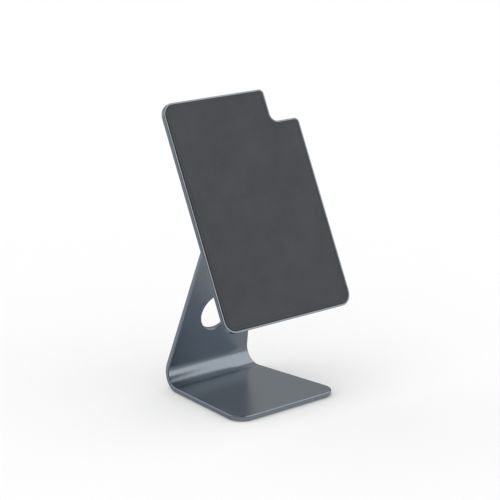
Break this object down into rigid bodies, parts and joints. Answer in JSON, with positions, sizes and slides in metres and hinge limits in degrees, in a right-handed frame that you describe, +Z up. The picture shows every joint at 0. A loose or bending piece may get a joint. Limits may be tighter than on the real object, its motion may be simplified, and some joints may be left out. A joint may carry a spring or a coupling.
{
  "type": "magnetic tablet stand",
  "caption": "Bent-plate desk stand with a friction tilt hinge and a swivelling magnetic plate that holds a tablet.",
  "frame": {"origin": "middle of the base, on the underside of its pad", "axes": "+Z up, +Y to the back (the bend), +X to the right as seen from the front"},
  "size_m": [0.16, 0.1364, 0.3007],
  "materials": {
    "anodised_grey": "fine bead-blasted, slate grey anodised",
    "pad_rubber": "matt silicone",
    "bright_steel": "turned",
    "dark_steel": "black oxide",
    "black_polymer": "matt moulded",
    "white_polymer": "natural acetal",
    "nickel": "nickel plated",
    "soft_face": "soft-touch, fine grain"
  },
  "bodies": {
    "stand": {"stand_plate": "anodised_grey", "base_pad": "pad_rubber", "hinge_block": "anodised_grey", "hinge_screws": "dark_steel", "tilt_shaft": "bright_steel", "tilt_spring_washers": "bright_steel", "tilt_nut": "bright_steel", "tilt_friction_washers": "white_polymer", "hinge_cap_left": "anodised_grey", "hinge_cap_right": "anodised_grey"},
    "tilt_arm": {"tilt_arm": "anodised_grey", "tilt_bush": "white_polymer", "swivel_stud": "bright_steel", "swivel_friction_washer": "white_polymer", "swivel_spring_washers": "bright_steel", "swivel_nut": "bright_steel"},
    "magnet_head": {"swivel_hub": "anodised_grey", "swivel_bush": "white_polymer", "hub_screws": "dark_steel", "rear_shell": "anodised_grey", "steel_backing": "bright_steel", "magnet_carrier": "black_polymer", "magnets": "nickel", "front_panel": "black_polymer", "panel_screws": "dark_steel", "front_pad": "soft_face"}
  },
  "joints": [
    {"name": "tilt", "type": "hinge", "parent": "stand", "child": "tilt_arm", "pos_m": [0, -0.00348, 0.18829], "axis": [-1, 0, 0], "range_deg": [-40, 65]},
    {"name": "swivel", "type": "hinge", "parent": "tilt_arm", "child": "magnet_head", "pos_m": [0, -0.00348, 0.18829], "axis": [0, -0.9092, 0.4163], "continuous": true}
  ]
}
